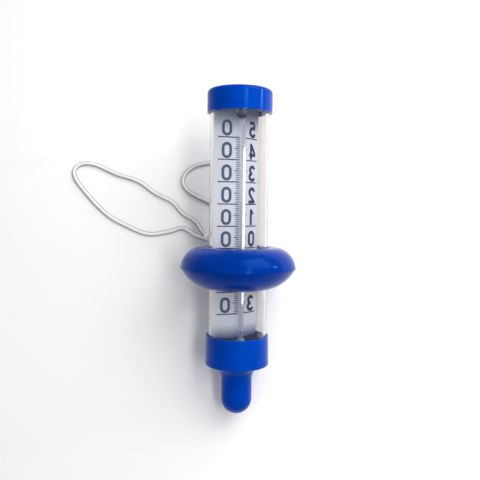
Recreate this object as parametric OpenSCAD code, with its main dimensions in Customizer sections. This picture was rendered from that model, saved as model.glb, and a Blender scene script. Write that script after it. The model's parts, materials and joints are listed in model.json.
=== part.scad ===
// Floating pool thermometer, lying on its float ring and on the shoulder of its bottom cup.
// Every part is drawn upright first: the pole of the nose is at the origin, the tube's axis is +Z,
// and -Y is the side that ends up on top. lay() then tips the upright part onto the table.

/* [Tube] */
// Outer diameter of the clear tube
tube_d = 34.6; // [30:0.1:40]
// Wall of the clear tube
tube_wall = 1.5; // [1:0.1:2.5]

/* [Caps] */
// Length of the whole thermometer, from the nose to the top of the cap
total_l = 190.9; // [180:0.1:210]
// Outer diameter of the top cap
top_cap_d = 38.2; // [37.8:0.1:44]
// Height of the top cap
top_cap_h = 13.5; // [12:0.1:18]
// Wall of the top cap's ceiling
top_ceiling = 2.2; // [1.8:0.1:3]
// Outer diameter of the bottom cup at its shoulder
cup_d = 37.5; // [37.1:0.1:42]
// Outer diameter of the bottom cup at its rim
cup_rim_d = 36.8; // [36.6:0.1:37.5]
// Height of the bottom cup's rim above the nose
cup_rim_z = 47.2; // [45:0.1:50]
// Height of the bottom cup's shoulder above the nose
cup_base_z = 29.4; // [28:0.1:31]
// Diameter of the nose
nose_d = 18.1; // [17:0.1:19]
// Wall of the nose
nose_wall = 1.5; // [1.2:0.1:2]

/* [Float ring] */
// Height of the float's middle above the nose
float_z = 87.3; // [80:0.1:120]
// Radius of the full, rounded outline of the upper shell
float_top_r = 13; // [12.7:0.1:13.3]
// Depth of the middle of that outline below the seam
float_top_drop = 0.9; // [0.5:0.1:1.3]
// Radius of the shallower outline of the lower shell
float_foot_r = 22.3; // [21.8:0.1:23]
// Height of the middle of that outline above the seam
float_foot_drop = 9.5; // [9:0.1:10]
// Wall of the two float shells
float_wall = 1.2; // [1:0.1:1.6]
// Outer radius of the welded seam around the float
seam_r = 34.2; // [33.5:0.1:35]

/* [Glass thermometer] */
// Radius of the bulb and of the upper chamber
bulb_r = 2.8; // [2.5:0.1:2.9]
// Radius of the stem
stem_r = 1.6; // [1.3:0.1:2]
// Radius of the capillary bore
capillary_r = 0.5; // [0.4:0.05:0.7]
// Temperature that the spirit column shows, in degrees Celsius
reading = 22; // [-20:1:45]

/* [Scale card] */
// Radius that the card is bowed to, between the walls of the tube
card_r = 30; // [28:0.5:34]
// Distance from the tube's axis to the middle of the card's face
card_offset = 1.9; // [1.5:0.1:4]
// Thickness of the card
card_t = 0.4; // [0.3:0.05:0.5]
// Width of the slot that shows the stem
slot_w = 1.9; // [1.4:0.1:2.4]
// Turn of the card and the glass round the tube's axis
card_turn = 33.6; // [0:0.1:90]

/* [Cord] */
// Diameter of the cord
cord_d = 2.2; // [2:0.1:2.4]

/* [Hidden] */
$fn = 96;
eps = 0.01;

// Half the height of the welded seam
seam_half_h = 0.4;
// Tilt of the axis when the float's seam and the cup's shoulder both touch the table
lie_tilt = 15.3;
// Where the axis is, on the table, at the height of the nose's pole
lie_y = -94.1;
lie_z = seam_r * cos(lie_tilt) - (float_z - seam_half_h) * sin(lie_tilt);

tube_r = tube_d / 2;
tube_bore_r = tube_r - tube_wall;
glue_gap = 0.05;
fillet_r = 2.5;
top_cap_r = top_cap_d / 2;
top_rim_z = total_l - top_cap_h;
top_ceiling_z = total_l - top_ceiling;
gasket_h = 1.7;
gasket_w = 2.4;
tube_top_z = top_ceiling_z - gasket_h;
cup_r = cup_d / 2;
cup_rim_r = cup_rim_d / 2;
cup_fillet_r = 1.2;
cup_floor_z = cup_base_z + 2.4;
tube_bottom_z = cup_floor_z + gasket_h;
nose_r = nose_d / 2;
nose_bore_r = nose_r - nose_wall;
// Concave flare that runs from the nose to the cup's rounded shoulder
flare_r = cup_r - cup_fillet_r - nose_r;

// Cord eyelet on the underside of the top cap
eyelet_z = 181;
eyelet_y = top_cap_r + 3;
eyelet_r = 4;
eyelet_hole_r = 1.6;
eyelet_t = 3;

// Float ring: two domes that meet inside a low bead on the seam, each rounded at the bore
float_bore_r = tube_r + 0.08;
float_edge_r = seam_r - 0.2;
float_round_r = 2;
float_round_x = float_bore_r + float_round_r;
grip_bore_r = tube_r + 0.03;
grip_r = tube_r + 1.7;
grip_half_h = 1.5;

// Scale: zero degrees and the height of one degree
zero_z = 98.75;
degree_h = 1.286;
reading_z = zero_z + reading * degree_h;

// Glass
glass_wall = 0.9;
cavity_r = bulb_r - glass_wall;
bulb_base_z = 10;
bulb_top_z = 46.4;
chamber_base_z = 175;
chamber_top_z = 187;
column_base_z = bulb_top_z - bulb_r - 1;
liquid_gap = 0.02;

// Card, bowed from wall to wall of the tube, and its holders
card_rim_r = tube_bore_r - 0.13;
card_centre_y = card_r - card_offset;
card_half_angle = acos((pow(card_r, 2) + pow(card_centre_y, 2) - pow(card_rim_r, 2))
    / (2 * card_r * card_centre_y));
card_base_z = 46.2;
card_top_z = 179.6;
slot_base_z = 59.6;
slot_top_z = 163.6;
notch_w = 7.2;
notch_base_z = 174;
spacer_r = tube_bore_r - 0.1;
spacer_h = 3;
top_spacer_z = 179.8;
bottom_spacer_z = cup_floor_z + 2.4;

// Distance of the glass from the tube's axis, just in front of the card's face
glass_out = card_offset + stem_r + 0.1;

cord_r = cord_d / 2;
cord_sides = 8;
steps_per_span = 2;
loop_knot_r = 3;
loop_knot_at = [-19.5, 14, 3];
eyelet_knot_r = 2.5;
hitch_r = 3.2;

// Route of the cord's centre line on the table: the drop from the eyelet, a small slack loop,
// the stretch under the tube, and the hand loop that comes back to its knot
cord_route = [
    [0, 86, 28], [0, 86, 20], [0, 85.5, 12], [-0.5, 83, 5], [-2, 77.5, 1.4],
    [-6, 71.5, 1.2], [-13, 67.5, 1.2], [-21, 66, 1.2], [-29, 64, 1.2], [-35, 59.5, 1.2],
    [-37.5, 53.5, 1.2], [-35, 47.5, 1.2], [-28.5, 43, 1.2], [-20, 39, 1.2], [-12.5, 34, 1.2],
    [-9, 27, 1.2], [-9, 20, 1.4], [-13, 14.5, 2], [-19, 14, 2.4], [-24, 19, 2],
    [-28.5, 25.5, 1.3], [-37, 31, 1.2], [-44, 38.5, 1.2], [-55.5, 44.5, 1.2], [-67, 52.5, 1.2],
    [-82, 57.5, 1.2], [-97, 64, 1.2], [-107, 63.5, 1.2], [-110, 56.5, 1.2], [-101.5, 44.5, 1.2],
    [-87, 30, 1.2], [-73, 22, 1.2], [-59, 16.8, 1.2], [-45.5, 18.5, 1.2], [-36.5, 21, 1.3],
    [-28, 16, 2.2], [-21, 13.4, 3.6], [-16, 11.5, 3.4]
];

function unit(v) = v / norm(v);

// Catmull-Rom point between p[1] and p[2]
function spline_point(p, t) =
    0.5 * (2 * p[1] + (p[2] - p[0]) * t + (2 * p[0] - 5 * p[1] + 4 * p[2] - p[3]) * t * t
        + (3 * p[1] - p[0] - 3 * p[2] + p[3]) * t * t * t);

// Four neighbouring route points, with the first and the last repeated at the ends
function neighbours(route, i) =
    [for (k = [i - 1 : i + 2]) route[min(max(k, 0), len(route) - 1)]];

function smooth_route(route) = concat(
    [for (i = [0 : len(route) - 2], k = [0 : steps_per_span - 1])
        spline_point(neighbours(route, i), k / steps_per_span)],
    [route[len(route) - 1]]
);

function directions(path) =
    [for (i = [0 : len(path) - 1])
        unit(path[min(i + 1, len(path) - 1)] - path[max(i - 1, 0)])];

// A vector square to each direction, carried along the path without twist
function carried_sides(dirs, start) =
    [for (i = 0, v = unit(start - (start * dirs[0]) * dirs[0]);
        i < len(dirs);
        i = i + 1, v = i < len(dirs) ? unit(v - (v * dirs[i]) * dirs[i]) : v) v];

// Round tube swept along a path
module sweep(path, r, sides) {
    dirs = directions(path);
    side = carried_sides(dirs, [1, 0, 0]);
    n = len(path);
    points = [for (i = [0 : n - 1], k = [0 : sides - 1])
        path[i] + r * (cos(360 * k / sides) * side[i] + sin(360 * k / sides) * cross(dirs[i], side[i]))];
    skin = [for (i = [0 : n - 2], k = [0 : sides - 1])
        let (a = i * sides + k, b = i * sides + (k + 1) % sides)
        each [[a, a + sides, b], [b, a + sides, b + sides]]];
    start_cap = [[for (k = [0 : sides - 1]) k]];
    end_cap = [[for (k = [sides - 1 : -1 : 0]) (n - 1) * sides + k]];
    polyhedron(points, concat(skin, start_cap, end_cap));
}

// Tips an upright part onto the table
module lay() {
    translate([0, lie_y, lie_z])
        rotate([-(90 - lie_tilt), 0, 0])
            children();
}

// Revolves a profile drawn as [radius, height]
module turn() {
    rotate_extrude() intersection() {
        translate([0, -eps]) square([100, 300]);
        children();
    }
}

module ring(inner_r, outer_r, base_z, h) {
    turn() translate([inner_r, base_z]) square([outer_r - inner_r, h]);
}

// Rectangle between two radii and two heights
module band(r0, r1, z0, z1) {
    translate([r0, z0]) square([r1 - r0, z1 - z0]);
}

module tube() {
    color("lightcyan", 0.35)
        lay() ring(tube_bore_r, tube_r, tube_bottom_z, tube_top_z - tube_bottom_z);
}

module top_cap_shell() {
    turn() difference() {
        union() {
            band(0, top_cap_r, top_rim_z, total_l - fillet_r);
            band(0, top_cap_r - fillet_r, top_rim_z, total_l);
            translate([top_cap_r - fillet_r, total_l - fillet_r]) circle(fillet_r);
        }
        band(-1, tube_r + glue_gap, top_rim_z - 1, top_ceiling_z);
    }
}

module eyelet_lug() {
    translate([-eyelet_t / 2, 0, 0]) rotate([90, 0, 90]) linear_extrude(eyelet_t) difference() {
        union() {
            translate([eyelet_y, eyelet_z]) circle(eyelet_r);
            translate([top_cap_r - 1.2, eyelet_z - eyelet_r])
                square([eyelet_y - top_cap_r + 1.2, 2 * eyelet_r]);
        }
        translate([eyelet_y, eyelet_z]) circle(eyelet_hole_r);
    }
}

module top_cap() {
    color("royalblue") lay() union() {
        top_cap_shell();
        eyelet_lug();
    }
}

module top_gasket() {
    color("dimgray") lay() ring(tube_r - gasket_w, tube_r, tube_top_z, gasket_h);
}

module bottom_gasket() {
    color("dimgray") lay() ring(tube_r - gasket_w, tube_r, cup_floor_z, gasket_h);
}

// Moves a part from the tube's axis to the glass's axis
module at_glass(z = 0) {
    rotate([0, 0, card_turn]) translate([0, -glass_out, z]) children();
}

// Disc across the tube that holds the end of the card and the glass
module spacer(base_z) {
    difference() {
        ring(0, spacer_r, base_z, spacer_h);
        at_glass(base_z - 1) cylinder(r = bulb_r + 1.5, h = spacer_h + 2);
    }
}

module top_spacer() {
    color("whitesmoke") lay() spacer(top_spacer_z);
}

module bottom_spacer() {
    color("whitesmoke") lay() spacer(bottom_spacer_z);
}

module top_bush() {
    color("gray") lay() at_glass(top_spacer_z) difference() {
        cylinder(r = bulb_r + 1.4, h = top_ceiling_z - top_spacer_z);
        translate([0, 0, -1]) cylinder(r = bulb_r + glue_gap, h = top_ceiling_z - top_spacer_z + 2);
    }
}

module bottom_cup() {
    color("royalblue") lay() turn() difference() {
        union() {
            polygon([
                [0, cup_base_z], [cup_r - cup_fillet_r, cup_base_z], [cup_r, cup_base_z + cup_fillet_r],
                [cup_rim_r, cup_rim_z], [0, cup_rim_z]
            ]);
            translate([cup_r - cup_fillet_r, cup_base_z + cup_fillet_r]) circle(cup_fillet_r);
            band(0, nose_r, nose_r, cup_base_z + 1);
            translate([0, nose_r]) circle(nose_r);
            difference() {
                band(nose_r - 1, nose_r + flare_r, cup_base_z - flare_r, cup_base_z + 1);
                translate([nose_r + flare_r, cup_base_z - flare_r]) circle(flare_r);
            }
        }
        band(-1, tube_r + glue_gap, cup_floor_z, cup_rim_z + 1);
        band(-1, nose_bore_r, nose_r, cup_floor_z + 1);
        translate([0, nose_r]) circle(nose_bore_r);
    }
}

// Rubber plug that seals the nose round the bulb
module bulb_grommet() {
    plug_z = cup_floor_z - 5;
    color("dimgray") lay() difference() {
        turn() union() {
            band(0, nose_bore_r - glue_gap, plug_z, cup_floor_z + 1);
            band(0, nose_bore_r + 4, cup_floor_z, cup_floor_z + 2.2);
        }
        at_glass(plug_z - 1) cylinder(r = bulb_r + glue_gap, h = 12);
    }
}

// Weight that fills the nose round the bulb
module ballast_sleeve() {
    color("slategray") lay() difference() {
        ring(0, nose_bore_r - glue_gap, nose_r, 17);
        at_glass(nose_r - 1) cylinder(r = bulb_r + 0.2, h = 19);
    }
}

// Outline of a closed tube with round ends, in one piece with the stem
module capsule(r, z0, z1) {
    band(0, r, z0, z1);
    translate([0, z0]) circle(r);
    translate([0, z1]) circle(r);
}

module glass_envelope() {
    color("aliceblue", 0.5) lay() at_glass() turn() difference() {
        union() {
            capsule(bulb_r, bulb_base_z, bulb_top_z - bulb_r);
            capsule(bulb_r, chamber_base_z + bulb_r, chamber_top_z - bulb_r);
            band(0, stem_r, bulb_top_z - bulb_r, chamber_base_z + bulb_r);
        }
        capsule(cavity_r, bulb_base_z, bulb_top_z - bulb_r);
        capsule(cavity_r, chamber_base_z + bulb_r, chamber_top_z - bulb_r);
        band(-1, capillary_r, bulb_top_z - bulb_r, chamber_base_z + bulb_r);
    }
}

// Spirit that fills the bulb, up to the foot of the column
module spirit_bulb() {
    color("blue") lay() at_glass() turn() intersection() {
        capsule(cavity_r - liquid_gap, bulb_base_z, bulb_top_z - bulb_r);
        band(0, cavity_r, 0, column_base_z);
    }
}

module spirit_column() {
    color("blue") lay() at_glass(column_base_z)
        cylinder(r = capillary_r - liquid_gap, h = reading_z - column_base_z);
}

// U-shaped opening in the top end of the card, round the upper chamber of the glass
module card_notch() {
    round_z = notch_base_z + notch_w / 2;
    translate([-notch_w / 2, -card_r, round_z]) cube([notch_w, card_r, card_top_z - round_z + 1]);
    translate([0, 0, round_z]) rotate([90, 0, 0]) cylinder(d = notch_w, h = card_r);
}

module scale_card() {
    sheet_h = card_top_z - card_base_z;
    color("white") lay() rotate([0, 0, card_turn]) difference() {
        translate([0, card_centre_y, 0]) rotate([0, 0, -90 - card_half_angle])
            rotate_extrude(angle = 2 * card_half_angle)
                translate([card_r - card_t, card_base_z]) square([card_t, sheet_h]);
        translate([-slot_w / 2, -card_r, slot_base_z])
            cube([slot_w, card_r, slot_top_z - slot_base_z]);
        card_notch();
    }
}

// Distance from the tube's axis to the middle of a dome
function dome_x(r, drop) = float_edge_r - sqrt(pow(r, 2) - pow(drop, 2));

// Section of a dome of the float, drawn up from a seam at zero and shrunk by an inset
module float_dome(r, drop, inset, from_x) {
    intersection() {
        translate([dome_x(r, drop), -drop]) circle(r - inset);
        band(from_x, seam_r, -eps, r);
    }
}

// The same section with its rounding at the bore
module float_section(r, drop) {
    x = dome_x(r, drop);
    round_z = sqrt(pow(r - float_round_r, 2) - pow(float_round_x - x, 2)) - drop;
    blend_x = x + (float_round_x - x) * r / (r - float_round_r);
    float_dome(r, drop, 0, blend_x);
    band(float_bore_r, blend_x, -eps, round_z);
    translate([float_round_x, round_z]) circle(float_round_r);
}

// One welded half of the hollow float, drawn up from the seam
module float_half(r, drop) {
    intersection() {
        difference() {
            union() {
                float_section(r, drop);
                band(seam_r - 2, seam_r, 0, seam_half_h);
                band(float_bore_r, grip_r + float_wall, 0, grip_half_h + float_wall);
            }
            difference() {
                float_dome(r, drop, float_wall, float_bore_r + float_wall);
                band(0, grip_r + float_wall, -1, grip_half_h + float_wall);
            }
            band(0, grip_r + liquid_gap, -1, grip_half_h);
        }
        band(0, seam_r + 1, 0, r);
    }
}

module float_upper() {
    color("mediumblue") lay() turn() translate([0, float_z]) float_half(float_top_r, float_top_drop);
}

module float_lower() {
    color("mediumblue") lay() turn() translate([0, float_z]) mirror([0, 1])
        float_half(float_foot_r, float_foot_drop);
}

// Rubber ring between the halves that grips the tube
module float_grip_ring() {
    color("dimgray") lay() ring(grip_bore_r, grip_r, float_z - grip_half_h, 2 * grip_half_h);
}

module cord() {
    color("ivory") sweep(smooth_route(cord_route), cord_r, cord_sides);
}

// Loop of cord through the eyelet and the knot that hangs under it
module eyelet_knot() {
    hole_y = lie_y + eyelet_z * cos(lie_tilt) + eyelet_y * sin(lie_tilt);
    hole_z = lie_z + eyelet_z * sin(lie_tilt) - eyelet_y * cos(lie_tilt);
    color("ivory") union() {
        translate([0, hole_y, hole_z - hitch_r])
            rotate([90, 0, 0]) rotate_extrude() translate([hitch_r, 0]) circle(cord_r);
        translate([0, hole_y, hole_z - 2 * hitch_r - eyelet_knot_r + 0.6]) sphere(eyelet_knot_r);
    }
}

module loop_knot() {
    color("ivory") translate(loop_knot_at) sphere(loop_knot_r);
}

tube();
top_cap();
top_gasket();
top_spacer();
top_bush();
bottom_cup();
bottom_gasket();
bottom_spacer();
bulb_grommet();
ballast_sleeve();
glass_envelope();
spirit_bulb();
spirit_column();
scale_card();
float_upper();
float_lower();
float_grip_ring();
cord();
eyelet_knot();
loop_knot();
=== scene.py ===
import json
import math

import bmesh
import bpy
import numpy as np
from mathutils import Matrix, Vector


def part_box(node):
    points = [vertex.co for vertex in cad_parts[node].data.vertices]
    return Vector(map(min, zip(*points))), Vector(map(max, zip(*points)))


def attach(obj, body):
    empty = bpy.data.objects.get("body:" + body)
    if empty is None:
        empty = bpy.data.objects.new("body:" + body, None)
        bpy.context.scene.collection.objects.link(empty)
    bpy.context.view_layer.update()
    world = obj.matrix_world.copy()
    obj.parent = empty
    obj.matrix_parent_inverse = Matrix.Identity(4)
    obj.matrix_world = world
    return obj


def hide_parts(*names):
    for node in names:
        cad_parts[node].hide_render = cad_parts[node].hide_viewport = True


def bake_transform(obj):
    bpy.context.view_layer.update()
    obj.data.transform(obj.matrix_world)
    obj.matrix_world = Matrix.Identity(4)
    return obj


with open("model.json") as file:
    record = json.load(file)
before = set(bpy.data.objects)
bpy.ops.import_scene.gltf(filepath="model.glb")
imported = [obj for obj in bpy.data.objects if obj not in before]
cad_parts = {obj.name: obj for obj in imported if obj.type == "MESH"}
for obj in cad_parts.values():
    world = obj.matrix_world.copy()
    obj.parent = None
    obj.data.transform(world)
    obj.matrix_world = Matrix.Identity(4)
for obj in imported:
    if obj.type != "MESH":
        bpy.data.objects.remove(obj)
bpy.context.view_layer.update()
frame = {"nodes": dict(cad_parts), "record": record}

# ---------------------------------------------------------------- places
# Heights run from the pole of the nose along the tube's axis, and all lengths are metres.
MM = 0.001
MOUNT = {m["name"]: m for m in frame["record"]["mounts"]}
TOTAL_L = 190.9 * MM
SIDE = Vector((1, 0, 0))
UP = Vector(MOUNT["top_face"]["axis"]).normalized()
FACE = SIDE.cross(UP)
POLE = Vector(MOUNT["top_face"]["pos_m"]) - TOTAL_L * UP

# Scale: height of zero, and of one degree
ZERO_HEIGHT = 98.75 * MM
DEGREE = 1.286 * MM
READING = 22

# Card: an arc across the bore, turned round the tube's axis together with the glass
CARD_R = 30 * MM
CARD_T = 0.4 * MM
CARD_TURN = math.radians(33.6)
CARD_OFFSET = 1.9 * MM
CARD_CENTRE = CARD_R - CARD_OFFSET
SLOT_HALF = 0.95 * MM

STEM_R = 1.6 * MM
CAPILLARY_R = 0.48 * MM
GLASS_OUT = CARD_OFFSET + STEM_R + 0.1 * MM
COLUMN_BASE = 42.6 * MM
COLUMN_TOP = ZERO_HEIGHT + READING * DEGREE

CORD_R = 1.1 * MM


def at(height, out=0.0, side=0.0):
    """The point at a height up the tube's axis, out of it towards the scale side, and to the right."""
    return POLE + UP * height + FACE * out + SIDE * side


def on_turn(height, out, side):
    """Like at(), in axes that are turned round the tube's axis with the card."""
    return at(
        height,
        out * math.cos(CARD_TURN) - side * math.sin(CARD_TURN),
        out * math.sin(CARD_TURN) + side * math.cos(CARD_TURN),
    )


def on_card(along, height, depth=0.0):
    """A point on the card: along its arc from the middle, up the tube, and out of its convex face."""
    angle = along / CARD_R
    radius = CARD_R + depth
    return on_turn(height, radius * math.cos(angle) - CARD_CENTRE, radius * math.sin(angle))


# ---------------------------------------------------------------- camera
CAMERA_HEIGHT = 122.3 * MM
CAMERA_DISTANCE = 355.2 * MM
CAMERA_SIDE = 1.0 * MM
CAMERA_PITCH = math.radians(3.04)
CAMERA_ROLL = math.radians(0.75)


def add_camera():
    data = bpy.data.cameras.new("camera")
    data.lens = 45.225
    data.sensor_width = 36
    data.clip_start = 0.01
    camera = bpy.data.objects.new("camera", data)
    bpy.context.collection.objects.link(camera)
    aim = -FACE * math.cos(CAMERA_PITCH) - UP * math.sin(CAMERA_PITCH)
    up = UP * math.cos(CAMERA_PITCH) - FACE * math.sin(CAMERA_PITCH)
    right = aim.cross(up)
    rolled_up = up * math.cos(CAMERA_ROLL) - right * math.sin(CAMERA_ROLL)
    rolled_right = right * math.cos(CAMERA_ROLL) + up * math.sin(CAMERA_ROLL)
    turn = Matrix((rolled_right, rolled_up, -aim)).transposed().to_4x4()
    camera.matrix_world = Matrix.Translation(at(CAMERA_HEIGHT, CAMERA_DISTANCE, CAMERA_SIDE)) @ turn
    bpy.context.scene.camera = camera


add_camera()


# ---------------------------------------------------------------- materials
# Heights between which a look changes along the tube
CHAMBER_FOOT = (173 * MM, 174.5 * MM)
# Where the painted shade at the chamber's foot fades into its painted grey-blue reflection.
CHAMBER_SHADE_FADE = (175.6 * MM, 177 * MM)
GLASS_SHOULDER = (46 * MM, 52 * MM)
# The card's ends: painted shade and painted blue reflection of the cap and the cup.
CARD_TOP_PAINTED_SHADE = (167 * MM, 177 * MM)
CARD_FOOT_PAINTED_SHADE = (47 * MM, 54 * MM)
# The stripe's painted highlight: near-white between these marks.
STRIPE_HIGHLIGHT_FOOT = (66 * MM, 84 * MM)
STRIPE_HIGHLIGHT_TOP = (146 * MM, 158 * MM)
STRIPE_ENDS = (50 * MM, 171 * MM)


class Look:
    """A procedural material being built: one Principled shader, and nodes that feed it."""

    def __init__(self, name, **sockets):
        self.material = bpy.data.materials.new(name)
        self.material.use_nodes = True
        self.tree = self.material.node_tree
        self.shader = self.tree.nodes["Principled BSDF"]
        self.output = self.tree.nodes["Material Output"]
        self.set(self.shader, sockets)
        self.place = None

    def put(self, socket, value):
        """Links another node's output to a socket, or sets the socket's own value."""
        if isinstance(value, bpy.types.NodeSocket):
            self.tree.links.new(value, socket)
        else:
            socket.default_value = value

    def set(self, node, sockets):
        for name, value in sockets.items():
            self.put(node.inputs[name.replace("_", " ")], value)

    def node(self, kind, settings=None, **sockets):
        made = self.tree.nodes.new("ShaderNode" + kind)
        for name, value in (settings or {}).items():
            setattr(made, name, value)
        self.set(made, sockets)
        return made

    def math(self, operation, *values):
        made = self.node("Math", {"operation": operation})
        for socket, value in zip(made.inputs, values):
            self.put(socket, value)
        return made.outputs[0]

    def coords(self):
        """The point in the piece's own rest shape, so that the pattern rides with it."""
        if self.place is None:
            self.place = self.node("TexCoord").outputs["Object"]
        return self.place

    def noise(self, scale, detail=3.0, rough=0.5, stretch=None):
        vector = self.coords()
        if stretch:
            vector = self.node("Mapping", Vector=vector, Scale=stretch).outputs[0]
        return self.node("TexNoise", Vector=vector, Scale=scale, Detail=detail, Roughness=rough).outputs[0]

    def height(self):
        """How far up the tube's axis the point is, from the pole of the nose."""
        along = self.node("VectorMath", {"operation": "DOT_PRODUCT"})
        self.put(along.inputs[0], self.coords())
        self.put(along.inputs[1], UP)
        return self.math("SUBTRACT", along.outputs["Value"], POLE.dot(UP))

    def span(self, value, low, high, from_low=0.0, from_high=1.0):
        """value, taken from one range to another and held inside it."""
        made = self.node(
            "MapRange", {"clamp": True},
            Value=value, From_Min=from_low, From_Max=from_high, To_Min=low, To_Max=high,
        )
        return made.outputs[0]

    def blend_colours(self, factor, first, second):
        made = self.node("Mix", {"data_type": "RGBA"})
        self.put(made.inputs[0], factor)
        for index, colour in ((6, first), (7, second)):
            self.put(made.inputs[index], (*colour, 1) if isinstance(colour, tuple) else colour)
        return made.outputs[2]

    def bump(self, height, distance, strength=1.0):
        made = self.node("Bump", Height=height, Distance=distance, Strength=strength)
        self.set(self.shader, {"Normal": made.outputs[0]})

    def feed(self, **sockets):
        self.set(self.shader, sockets)

    def mix_with(self, factor, other):
        """Mixes the finished surface with another shader."""
        both = self.node("MixShader")
        self.put(both.inputs[0], factor)
        self.tree.links.new(self.shader.outputs[0], both.inputs[1])
        self.tree.links.new(other.outputs[0], both.inputs[2])
        self.tree.links.new(both.outputs[0], self.output.inputs["Surface"])

    def pass_light(self, colour):
        """Lets the light that falls on what is inside go straight through, tinted."""
        path = self.node("LightPath")
        straight = self.math("MAXIMUM", path.outputs["Is Shadow Ray"], path.outputs["Is Diffuse Ray"])
        self.mix_with(straight, self.node("BsdfTransparent", Color=(*colour, 1)))


def moulded(name, colour, pale, roughness):
    """Glossy moulded plastic: slight flow marks in its colour, handling haze, and a fine ripple."""
    look = Look(name, Roughness=roughness, IOR=1.5, Specular_IOR_Level=0.12, Specular_Tint=(0.1, 0.5, 1, 1))
    flow = look.noise(55, 4, 0.55, (1, 1, 0.35))
    haze = look.noise(260, 3, 0.6)
    look.feed(
        Base_Color=look.blend_colours(look.span(flow, 0, 1, 0.35, 0.7), colour, pale),
        Roughness=look.span(haze, roughness * 0.75, roughness * 1.5, 0.35, 0.7),
    )
    look.bump(look.noise(420, 2), 0.00002, 0.5)
    return look.material


def clear_plastic(name):
    """Clear moulding, faintly tan in its depth, that lets the light go straight to what is inside."""
    look = Look(name, Base_Color=(0.80, 0.785, 0.775, 1), Roughness=0.02, IOR=1.49, Transmission_Weight=1.0)
    scuffs = look.noise(900, 2, 0.6, (1, 1, 0.08))
    look.feed(Roughness=look.span(scuffs, 0.035, 0.06, 0.4, 0.8))
    depth = look.node("VolumeAbsorption", Color=(0.9, 0.84, 0.74, 1), Density=20)
    look.tree.links.new(depth.outputs[0], look.output.inputs["Volume"])
    look.pass_light((0.95, 0.95, 0.94))
    return look.material


def thin_glass(name):
    """Drawn glass, clear along the stem, that turns satin at its ends. Its chamber at the top is painted:
    dark at its foot, a painted shade, and grey-blue above, a painted reflection of the caps' blue.
    """
    look = Look(name, Roughness=0.01, IOR=1.47, Transmission_Weight=1.0)
    height = look.height()
    chamber = look.span(height, 0, 1, *CHAMBER_FOOT)
    ends = look.math("MAXIMUM", chamber, look.span(height, 0.8, 0, *GLASS_SHOULDER))
    ripple = look.span(look.noise(500, 2), 0.0, 0.03, 0.4, 0.8)
    # Painted shade and painted reflection: the chamber is dark at its foot, the crescent of shade, and
    # grey-blue above it, the caps' blue light.
    chamber_painted_shade = look.blend_colours(
        look.span(height, 0, 1, *CHAMBER_SHADE_FADE), (0.006, 0.02, 0.06), (0.09, 0.14, 0.25)
    )
    look.feed(
        Roughness=look.math("MULTIPLY_ADD", ends, 0.6, ripple),
        Base_Color=look.blend_colours(chamber, (0.93, 0.97, 1.0), chamber_painted_shade),
        Transmission_Weight=look.span(chamber, 1, 0),
    )
    look.pass_light((0.93, 0.96, 1))
    return look.material


def dyed_spirit(name):
    look = Look(name, Roughness=0.08, IOR=1.36, Specular_IOR_Level=0.4)
    look.feed(Base_Color=look.blend_colours(look.noise(300, 2), (0.004, 0.05, 0.42), (0.02, 0.12, 0.62)))
    return look.material


def card_film(name):
    """Satin white film with a faint blue cast, fine fibres, and light through it. Its ends are painted dark
    blue: painted shade and painted blue reflection of the cap and the cup.
    """
    look = Look(name, Roughness=0.45)
    fibres = look.noise(1400, 3, 0.6, (1, 1, 0.3))
    clouds = look.noise(40, 3, 0.5)
    base = look.blend_colours(look.span(clouds, 0, 1, 0.3, 0.7), (0.71, 0.75, 0.89), (0.79, 0.83, 0.96))
    base = look.blend_colours(look.span(fibres, 0, 0.35, 0.45, 0.75), base, (0.67, 0.71, 0.85))
    height = look.height()
    # Painted shade: the card is painted dark blue towards the cap and towards the cup, in place of their
    # shadow and blue reflection.
    top = look.span(height, 0, 0.85, *CARD_TOP_PAINTED_SHADE)
    foot = look.span(height, 0.9, 0, *CARD_FOOT_PAINTED_SHADE)
    base = look.blend_colours(top, base, (0.04, 0.08, 0.22))
    base = look.blend_colours(foot, base, (0.008, 0.06, 0.24))
    look.feed(Base_Color=base, Roughness=look.span(fibres, 0.38, 0.55, 0.3, 0.7))
    look.bump(fibres, 0.00001, 0.4)
    look.mix_with(0.12, look.node("BsdfTranslucent", Color=(0.55, 0.6, 0.72, 1)))
    return look.material


def ink(name, colour, worn):
    look = Look(name, Roughness=0.6, Specular_IOR_Level=0.2)
    patch = look.span(look.noise(2600, 3, 0.65), 0, 1, 0.52, 0.75)
    look.feed(Base_Color=look.blend_colours(patch, colour, worn))
    return look.material


def enamel(name):
    """Opal stripe: light spreads inside it, so that it shades little from edge to edge. Its colour is
    painted near-white along the middle of its height, a painted highlight, and paler blue towards its ends.
    """
    look = Look(
        name, Roughness=0.35, Specular_IOR_Level=0.3,
        Subsurface_Weight=1.0, Subsurface_Scale=0.003, Subsurface_Radius=(1, 1, 1),
    )
    height = look.height()
    middle = look.math(
        "MULTIPLY", look.span(height, 0, 1, *STRIPE_HIGHLIGHT_FOOT), look.span(height, 1, 0, *STRIPE_HIGHLIGHT_TOP)
    )
    # Painted highlight: the stripe is painted near-white between its marks and paler blue towards its ends.
    look.feed(
        Base_Color=look.blend_colours(middle, (0.58, 0.67, 0.84), (0.94, 0.97, 1.0)),
        Roughness=look.span(middle, 0.7, 0.3),
    )
    look.pass_light((0.9, 0.94, 1))
    return look.material


def rubber(name, colour, pale):
    look = Look(name, Roughness=0.7, Specular_IOR_Level=0.3)
    grain = look.noise(1800, 3, 0.6)
    look.feed(Base_Color=look.blend_colours(grain, colour, pale), Roughness=look.span(grain, 0.6, 0.85))
    look.bump(grain, 0.00003, 0.6)
    return look.material


def turned_steel(name):
    look = Look(name, Metallic=1.0, Roughness=0.32, Anisotropic=0.5)
    lines = look.noise(4000, 2, 0.5, (0.05, 1, 1))
    look.feed(Base_Color=look.blend_colours(lines, (0.42, 0.43, 0.45), (0.62, 0.63, 0.65)))
    look.bump(lines, 0.00001, 0.5)
    return look.material


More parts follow.
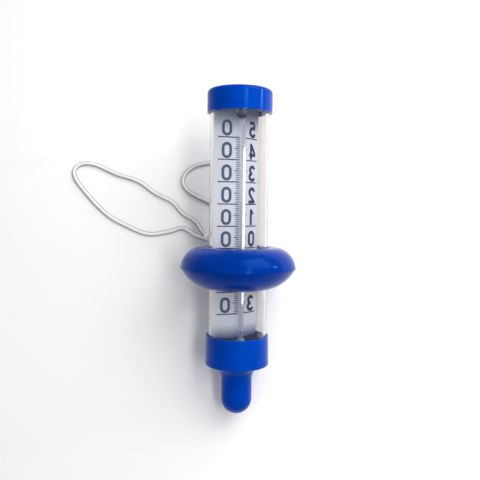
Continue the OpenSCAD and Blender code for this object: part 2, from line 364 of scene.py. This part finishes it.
def disc_painted_blue_light(name):
    """Natural plastic painted blue: a painted reflection of the blue light from the caps round it."""
    look = Look(name, Roughness=0.5)
    look.feed(Base_Color=look.blend_colours(look.noise(150, 3), (0.10, 0.16, 0.32), (0.15, 0.22, 0.40)))
    look.bump(look.noise(900, 2), 0.00002, 0.5)
    return look.material


def yarn(name, colour, shade, dirt):
    """Spun synthetic yarn: fine filaments, sheen, and a little pool grime."""
    look = Look(name, Roughness=0.8, Sheen_Weight=0.35, Sheen_Roughness=0.5, Specular_IOR_Level=0.25)
    filaments = look.noise(5200, 3, 0.6)
    patches = look.noise(110, 4, 0.6)
    base = look.blend_colours(look.span(filaments, 0, 1, 0.35, 0.65), colour, shade)
    look.feed(Base_Color=look.blend_colours(look.span(patches, 0, 0.45, 0.5, 0.75), base, dirt))
    look.bump(filaments, 0.00006, 0.8)
    return look.material


SLOT_LOOKS = {
    "clear_tube": clear_plastic("clear_tube"),
    "blue_plastic": moulded("blue_plastic", (0.0, 0.038, 0.33), (0.0, 0.048, 0.40), 0.16),
    "float_plastic": moulded("float_plastic", (0.0, 0.026, 0.24), (0.0, 0.032, 0.29), 0.12),
    "black_rubber": rubber("black_rubber", (0.012, 0.012, 0.013), (0.03, 0.03, 0.03)),
    "grey_rubber": rubber("grey_rubber", (0.1, 0.105, 0.11), (0.16, 0.165, 0.17)),
    "clear_disc": disc_painted_blue_light("clear_disc"),
    "steel": turned_steel("steel"),
    "glass": thin_glass("glass"),
    "blue_spirit": dyed_spirit("blue_spirit"),
    "white_card": card_film("white_card"),
    "white_cord": yarn("white_cord", (0.93, 0.96, 1.0), (0.84, 0.89, 0.97), (0.66, 0.62, 0.56)),
}
PRINT_DARK = ink("print_dark", (0.004, 0.014, 0.075), (0.012, 0.03, 0.12))
PRINT_PALE = ink("print_pale", (0.03, 0.075, 0.18), (0.07, 0.13, 0.26))
ENAMEL = enamel("stem_enamel")
# Brown yarn for the cord's core and its two side yarns: painted shade, the dark outlines along the cord's
# edges and in the gaps between its yarns.
CORD_SHADE_YARN = yarn("cord_painted_shade_yarn", (0.26, 0.11, 0.03), (0.18, 0.08, 0.025), (0.10, 0.05, 0.02))


# ---------------------------------------------------------------- pieces
def add_mesh(name, points, faces, material, smooth=True):
    mesh = bpy.data.meshes.new(name)
    mesh.from_pydata([tuple(p) for p in points], [], faces)
    mesh.polygons.foreach_set("use_smooth", [smooth] * len(mesh.polygons))
    mesh.materials.append(material)
    mesh.update()
    made = bpy.data.objects.new(name, mesh)
    bpy.context.collection.objects.link(made)
    return made


def dress_frame():
    """A material for each CAD node."""
    for part in frame["record"]["subparts"]:
        node = frame["nodes"][part["node"]]
        node.data.materials.clear()
        node.data.materials.append(SLOT_LOOKS[part["material_slot"]])


dress_frame()


# ---------------------------------------------------------------- cord
CORD_ROUTE = [
    (0, 0.086, 0.028), (0, 0.086, 0.02), (0, 0.0855, 0.012), (-0.0005, 0.083, 0.005),
    (-0.002, 0.0775, 0.0014), (-0.006, 0.0715, 0.0012), (-0.013, 0.0675, 0.0012),
    (-0.021, 0.066, 0.0012), (-0.029, 0.064, 0.0012), (-0.035, 0.0595, 0.0012),
    (-0.0375, 0.0535, 0.0012), (-0.035, 0.0475, 0.0012), (-0.0285, 0.043, 0.0012),
    (-0.02, 0.039, 0.0012), (-0.0125, 0.034, 0.0012), (-0.009, 0.027, 0.0012),
    (-0.009, 0.02, 0.0014), (-0.013, 0.0145, 0.002), (-0.019, 0.014, 0.0024),
    (-0.024, 0.019, 0.002), (-0.0285, 0.0255, 0.0013), (-0.037, 0.031, 0.0012),
    (-0.044, 0.0385, 0.0012), (-0.0555, 0.0445, 0.0012), (-0.067, 0.0525, 0.0012),
    (-0.082, 0.0575, 0.0012), (-0.097, 0.064, 0.0012), (-0.107, 0.0635, 0.0012),
    (-0.11, 0.0565, 0.0012), (-0.1015, 0.0445, 0.0012), (-0.087, 0.03, 0.0012),
    (-0.073, 0.022, 0.0012), (-0.059, 0.0168, 0.0012), (-0.0455, 0.0185, 0.0012),
    (-0.0365, 0.021, 0.0013), (-0.028, 0.016, 0.0022), (-0.021, 0.0134, 0.0036),
    (-0.016, 0.0115, 0.0034),
]

BRAID_STEP = 0.33 * MM
BRAID_PITCH = 8 * MM
BRAID_STRANDS = 6
STRAND_HALF_WIDTH = 0.33 * MM
STRAND_HALF_THICKNESS = 0.17 * MM
BRAID_WAVE = 0.08 * MM
SHADE_TRACER_R = 0.29 * MM
SHADE_TRACER_OUT = CORD_R - 0.05 * MM
STRAND_SIDES = 6
CORE_SIDES = 8


def smooth_line(points):
    """Catmull-Rom through the points, as an array of evenly spaced points a braid step apart."""
    p = np.array([tuple(q) for q in points], float)
    p = np.vstack([p[:1], p, p[-1:]])
    t = np.linspace(0, 1, 24, endpoint=False)[:, None]
    spans = [
        0.5 * (2 * b + (c - a) * t + (2 * a - 5 * b + 4 * c - d) * t**2 + (3 * b - a - 3 * c + d) * t**3)
        for a, b, c, d in zip(p[:-3], p[1:-2], p[2:-1], p[3:])
    ]
    line = np.vstack(spans + [p[-2:-1]])
    run = np.concatenate([[0], np.cumsum(np.linalg.norm(np.diff(line, axis=0), axis=1))])
    even = np.linspace(0, run[-1], max(int(run[-1] / BRAID_STEP), 8))
    return np.column_stack([np.interp(even, run, line[:, k]) for k in range(3)]), even


def frames_along(line):
    """A side and a cross direction at each point of a line, carried along it without twist."""
    direction = np.gradient(line, axis=0)
    direction /= np.linalg.norm(direction, axis=1)[:, None]
    side = np.zeros_like(line)
    start = np.array((1.0, 0.0, 0.0)) if abs(direction[0][0]) < 0.9 else np.array((0.0, 1.0, 0.0))
    for i, d in enumerate(direction):
        start = start - start.dot(d) * d
        start /= np.linalg.norm(start)
        side[i] = start
    return side, np.cross(direction, side)


def tube_faces(rings, sides, base=0):
    faces = [
        (
            base + i * sides + k,
            base + i * sides + (k + 1) % sides,
            base + (i + 1) * sides + (k + 1) % sides,
            base + (i + 1) * sides + k,
        )
        for i in range(rings - 1)
        for k in range(sides)
    ]
    faces.append(tuple(base + k for k in reversed(range(sides))))
    faces.append(tuple(base + (rings - 1) * sides + k for k in range(sides)))
    return faces


def braided(name, points, shade_tracers=False):
    """A plain braid of flat yarns over a core, along a line. Returns the object and its centre line.

    The two brown yarns laid level along the sides of the braid, and the core of the same brown, are painted
    shade: dark outlines along the cord's edges and between its yarns. Where the cord runs straight down,
    which has no level side, the side yarns go inside it.
    """
    line, run = smooth_line(points)
    side, cross = frames_along(line)
    middle = CORD_R - STRAND_HALF_THICKNESS - BRAID_WAVE
    verts, faces = [], []
    phase = 2 * math.pi * run / BRAID_PITCH
    for hand in (1, -1):
        for strand in range(BRAID_STRANDS):
            angle = 2 * math.pi * strand / BRAID_STRANDS + hand * phase
            radius = middle + hand * BRAID_WAVE * np.cos(BRAID_STRANDS * phase)
            out = np.cos(angle)[:, None] * side + np.sin(angle)[:, None] * cross
            centre = line + radius[:, None] * out
            along = np.gradient(centre, axis=0)
            along /= np.linalg.norm(along, axis=1)[:, None]
            across = np.cross(along, out)
            base = len(verts)
            ring = np.linspace(0, 2 * math.pi, STRAND_SIDES, endpoint=False)
            shape = [
                centre + STRAND_HALF_WIDTH * math.cos(a) * across + STRAND_HALF_THICKNESS * math.sin(a) * out
                for a in ring
            ]
            verts.extend(np.stack(shape, axis=1).reshape(-1, 3))
            faces.extend(tube_faces(len(line), STRAND_SIDES, base))
    yarn_faces = len(faces)
    ring = np.linspace(0, 2 * math.pi, CORE_SIDES, endpoint=False)
    inner = [(line, middle)]
    if shade_tracers:
        level = np.cross(np.gradient(line, axis=0), (0, 0, 1))
        level /= np.linalg.norm(level, axis=1)[:, None] + 0.01 * BRAID_STEP
        inner += [(line + hand * SHADE_TRACER_OUT * level, SHADE_TRACER_R) for hand in (1, -1)]
    for centre, radius in inner:
        base = len(verts)
        shape = [centre + radius * (math.cos(a) * side + math.sin(a) * cross) for a in ring]
        verts.extend(np.stack(shape, axis=1).reshape(-1, 3))
        faces.extend(tube_faces(len(line), CORE_SIDES, base))
    made = add_mesh(name, verts, faces, SLOT_LOOKS["white_cord"])
    made.data.materials.append(CORD_SHADE_YARN)
    made.data.polygons.foreach_set(
        "material_index", [0] * yarn_faces + [1] * (len(faces) - yarn_faces)
    )
    return made, line


def knot_line(centre, radius, rise, tilt):
    """The closed line of a tight overhand knot."""
    turn = Matrix.Rotation(tilt, 3, "X")
    points = []
    for k in range(36):
        t = 2 * math.pi * k / 36
        point = Vector((
            radius * (math.sin(t) + 2 * math.sin(2 * t)) / 3,
            radius * (math.cos(t) - 2 * math.cos(2 * t)) / 3,
            -rise * math.sin(3 * t),
        ))
        points.append(Vector(centre) + turn @ point)
    return points + points[:1]


def add_cord():
    cord, line = braided("braided_cord", CORD_ROUTE, shade_tracers=True)
    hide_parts("cord")
    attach(cord, "casing")

    low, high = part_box("eyelet_knot")
    middle = (low + high) / 2
    loop_r = (high.x - low.x) / 2 - CORD_R
    loop_centre = Vector((middle.x, middle.y, high.z - CORD_R - loop_r))
    hitch_points = [
        loop_centre + loop_r * Vector((math.sin(a), 0, math.cos(a)))
        for a in np.linspace(0, 2 * math.pi, 24)
    ]
    hitch, _ = braided("eyelet_hitch", hitch_points)
    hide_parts("eyelet_knot")
    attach(hitch, "casing")
    knot_at = Vector((middle.x, middle.y, low.z + 2.5 * MM))
    eyelet_tie, _ = braided("eyelet_tie", knot_line(knot_at, 2.2 * MM, 1.15 * MM, math.radians(90)))
    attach(eyelet_tie, "casing")

    low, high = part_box("loop_knot")
    loop_tie, _ = braided("loop_tie", knot_line((low + high) / 2, 2.3 * MM, 1.15 * MM, math.radians(12)))
    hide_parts("loop_knot")
    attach(loop_tie, "casing")


add_cord()


# ---------------------------------------------------------------- print
INK_OVER = 0.03 * MM
LINE_START, LINE_END = 1.15 * MM, 14.2 * MM
DECADE_HALF_T = 0.33 * MM
FIVE_LENGTH, FIVE_HALF_T = 3.4 * MM, 0.3 * MM
DEGREE_LENGTH, DEGREE_HALF_T = 2.5 * MM, 0.25 * MM
UNITS_MIDDLE, TENS_MIDDLE = -9.05 * MM, 9.1 * MM
DIGIT_RISE = 0.65 * MM
UNITS_HALF_WIDTH, TENS_HALF_WIDTH = 0.82 * MM, 0.95 * MM
PRINT_STEP = 0.6 * MM
DECADES = range(-30, 51, 10)


def arc(x, y, rx, ry, start, end):
    count = max(6, int(abs(end - start) / 12))
    angles = [math.radians(start + (end - start) * k / count) for k in range(count + 1)]
    return [(x + rx * math.cos(a), y + ry * math.sin(a)) for a in angles]


# Centre lines of the strokes of each figure, in millimetres from the middle of its foot
FIGURES = {
    "0": [arc(0, 6.2, 2.2, 2.35, 0, 180) + arc(0, 3.2, 2.2, 2.35, 180, 360) + [(2.2, 6.2)]],
    "1": [[(0.7, 0), (0.7, 9.4)], [(0.7, 8.6), (-0.2, 7.5), (-1.5, 6.7)]],
    "2": [arc(0, 6.45, 2.25, 2.15, 175, -30) + [(0.4, 3.3), (-1.9, 1.1)], [(-3.0, 0.8), (3.0, 0.8)]],
    "3": [arc(-0.1, 6.65, 2.05, 1.95, 165, -90), arc(0, 2.75, 2.35, 1.95, 95, -165)],
    "4": [[(1.3, 0), (1.3, 9.4)], [(1.2, 8.5), (-2.5, 3.2)], [(-3.1, 2.7), (3.0, 2.7)]],
    "5": [[(-1.9, 8.6), (2.6, 8.6)], [(-1.5, 8.6), (-2.0, 4.7)], arc(-0.1, 3.15, 2.4, 2.35, 140, -160)],
}


class Print:
    """Ink on the card, built up from strokes that go through it and stand just proud of both faces."""

    def __init__(self):
        self.verts, self.faces = [], []

    def stroke(self, line, half_width):
        line = np.array(line, float)
        run = np.concatenate([[0], np.cumsum(np.linalg.norm(np.diff(line, axis=0), axis=1))])
        stops = np.union1d(run, np.linspace(0, run[-1], int(run[-1] / PRINT_STEP) + 2))
        line = np.column_stack([np.interp(stops, run, line[:, k]) for k in range(2)])
        direction = np.gradient(line, axis=0)
        if np.allclose(line[0], line[-1]):
            direction[0] = direction[-1] = line[1] - line[-2]
        direction /= np.linalg.norm(direction, axis=1)[:, None]
        base = len(self.verts)
        for (x, y), (dx, dy) in zip(line, direction):
            one = (x - dy * half_width, y + dx * half_width)
            two = (x + dy * half_width, y - dx * half_width)
            for (along, height), depth in (
                (one, INK_OVER), (two, INK_OVER), (two, -CARD_T - INK_OVER), (one, -CARD_T - INK_OVER),
            ):
                self.verts.append(on_card(along, height, depth))
        self.faces.extend(tube_faces(len(line), 4, base))

    def figure(self, text, middle, foot, half_width):
        """One figure, which reads the right way round from the card's hollow side."""
        for strokes in FIGURES[text]:
            self.stroke([(middle - x * MM, foot + y * MM) for x, y in strokes], half_width)

    def add(self, name, material):
        made = add_mesh(name, self.verts, self.faces, material, smooth=False)
        shape = bmesh.new()
        shape.from_mesh(made.data)
        bmesh.ops.recalc_face_normals(shape, faces=shape.faces)
        shape.to_mesh(made.data)
        shape.free()
        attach(made, "casing")


def height_of(degrees):
    return ZERO_HEIGHT + degrees * DEGREE


def add_print():
    ticks, tens, units = Print(), Print(), Print()
    for degree in range(-30, 51):
        if degree % 10 == 0:
            start, end, half_t = LINE_START, LINE_END, DECADE_HALF_T
        elif degree % 5 == 0:
            start, end, half_t = SLOT_HALF, SLOT_HALF + FIVE_LENGTH, FIVE_HALF_T
        else:
            start, end, half_t = SLOT_HALF, SLOT_HALF + DEGREE_LENGTH, DEGREE_HALF_T
        for hand in (1, -1):
            height = height_of(degree)
            ticks.stroke([(hand * start, height), (hand * end, height)], half_t)
    for degree in DECADES:
        foot = height_of(degree) + DIGIT_RISE
        tens.figure(str(abs(degree) // 10), TENS_MIDDLE, foot, TENS_HALF_WIDTH)
        units.figure("0", UNITS_MIDDLE, foot, UNITS_HALF_WIDTH)
    ticks.add("scale_ticks", PRINT_DARK)
    tens.add("scale_tens", PRINT_DARK)
    units.add("scale_units", PRINT_PALE)


add_print()


# ---------------------------------------------------------------- thermometer
def add_enamel():
    """The pale stripe that backs the capillary, on the side of the stem away from the card."""
    low, high = STRIPE_ENDS
    half_angle = math.radians(88)
    outer, inner = STEM_R + 0.05 * MM, STEM_R - 0.02 * MM
    rings, sides = 64, 13
    verts = []
    for i in range(rings):
        height = low + (high - low) * i / (rings - 1)
        angles = [half_angle * (2 * k / (sides - 1) - 1) for k in range(sides)]
        outline = [(outer, a) for a in angles] + [(inner, a) for a in reversed(angles)]
        for radius, a in outline:
            verts.append(on_turn(height, GLASS_OUT + radius * math.cos(a), radius * math.sin(a)))
    stripe = add_mesh("stem_enamel", verts, tube_faces(rings, 2 * sides), ENAMEL, smooth=False)
    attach(stripe, "casing")


def add_spirit_thread():
    """The dyed thread: its foot stays in the bulb, and its top follows the reading."""
    rings, sides = 90, 16
    verts = []
    for i in range(rings):
        height = COLUMN_BASE + (COLUMN_TOP - COLUMN_BASE) * i / (rings - 1)
        top = min(1.0, (COLUMN_TOP - height) / CAPILLARY_R)
        radius = CAPILLARY_R * math.sqrt(max(0.04, 1 - (1 - top) ** 2))
        for k in range(sides):
            a = 2 * math.pi * k / sides
            verts.append(on_turn(height, GLASS_OUT + radius * math.cos(a), radius * math.sin(a)))
    thread = add_mesh("spirit_thread", verts, tube_faces(rings, sides), SLOT_LOOKS["blue_spirit"])
    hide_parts("spirit_column")
    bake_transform(thread)


add_enamel()
add_spirit_thread()


# ---------------------------------------------------------------- stage
LIGHT_DISTANCE = 0.6
WORLD_STRENGTH = 0.5


def add_floor():
    half = 3.0
    floor = add_mesh(
        "floor", [(-half, -half, 0), (half, -half, 0), (half, half, 0), (-half, half, 0)], [(0, 1, 2, 3)],
        Look("floor", Base_Color=(0.9, 0.9, 0.9, 1), Roughness=0.9).material,
    )


def add_area(name, place, target, width, length, power):
    """A soft white light whose length runs along the tube."""
    data = bpy.data.lights.new(name, "AREA")
    data.shape = "RECTANGLE"
    data.size, data.size_y = width, length
    data.energy = power
    light = bpy.data.objects.new(name, data)
    bpy.context.collection.objects.link(light)
    aim = (target - place).normalized()
    up = (UP - UP.dot(aim) * aim).normalized()
    light.matrix_world = Matrix.Translation(place) @ Matrix((aim.cross(up), up, -aim)).transposed().to_4x4()


def around(degrees, distance, height):
    """A place round the tube's axis, measured from the side that faces the camera."""
    turn = math.radians(degrees)
    return at(height, distance * math.cos(turn), distance * math.sin(turn))


def add_lights():
    """A soft key light past the cap, and small lights for the highlights on the tube and the cap."""
    middle = at(TOTAL_L / 2)
    add_area("strip", around(20, LIGHT_DISTANCE, 94 * MM), middle, 0.1, 0.24, 0.9)
    add_area("cap_strip", around(22, LIGHT_DISTANCE, 296 * MM), middle, 0.1, 0.036, 0.3)
    add_area("cap_glint", around(80, LIGHT_DISTANCE, 305 * MM), middle, 0.02, 0.03, 0.35)
    add_area("key", around(45, 0.4, 500 * MM), at(TOTAL_L), 0.45, 0.45, 2.9)
    world = bpy.data.worlds.new("studio")
    bpy.context.scene.world = world
    world.use_nodes = True
    background = world.node_tree.nodes["Background"]
    background.inputs["Color"].default_value = (1, 1, 1, 1)
    background.inputs["Strength"].default_value = WORLD_STRENGTH


add_floor()
add_lights()
bpy.context.scene.view_settings.view_transform = "Standard"
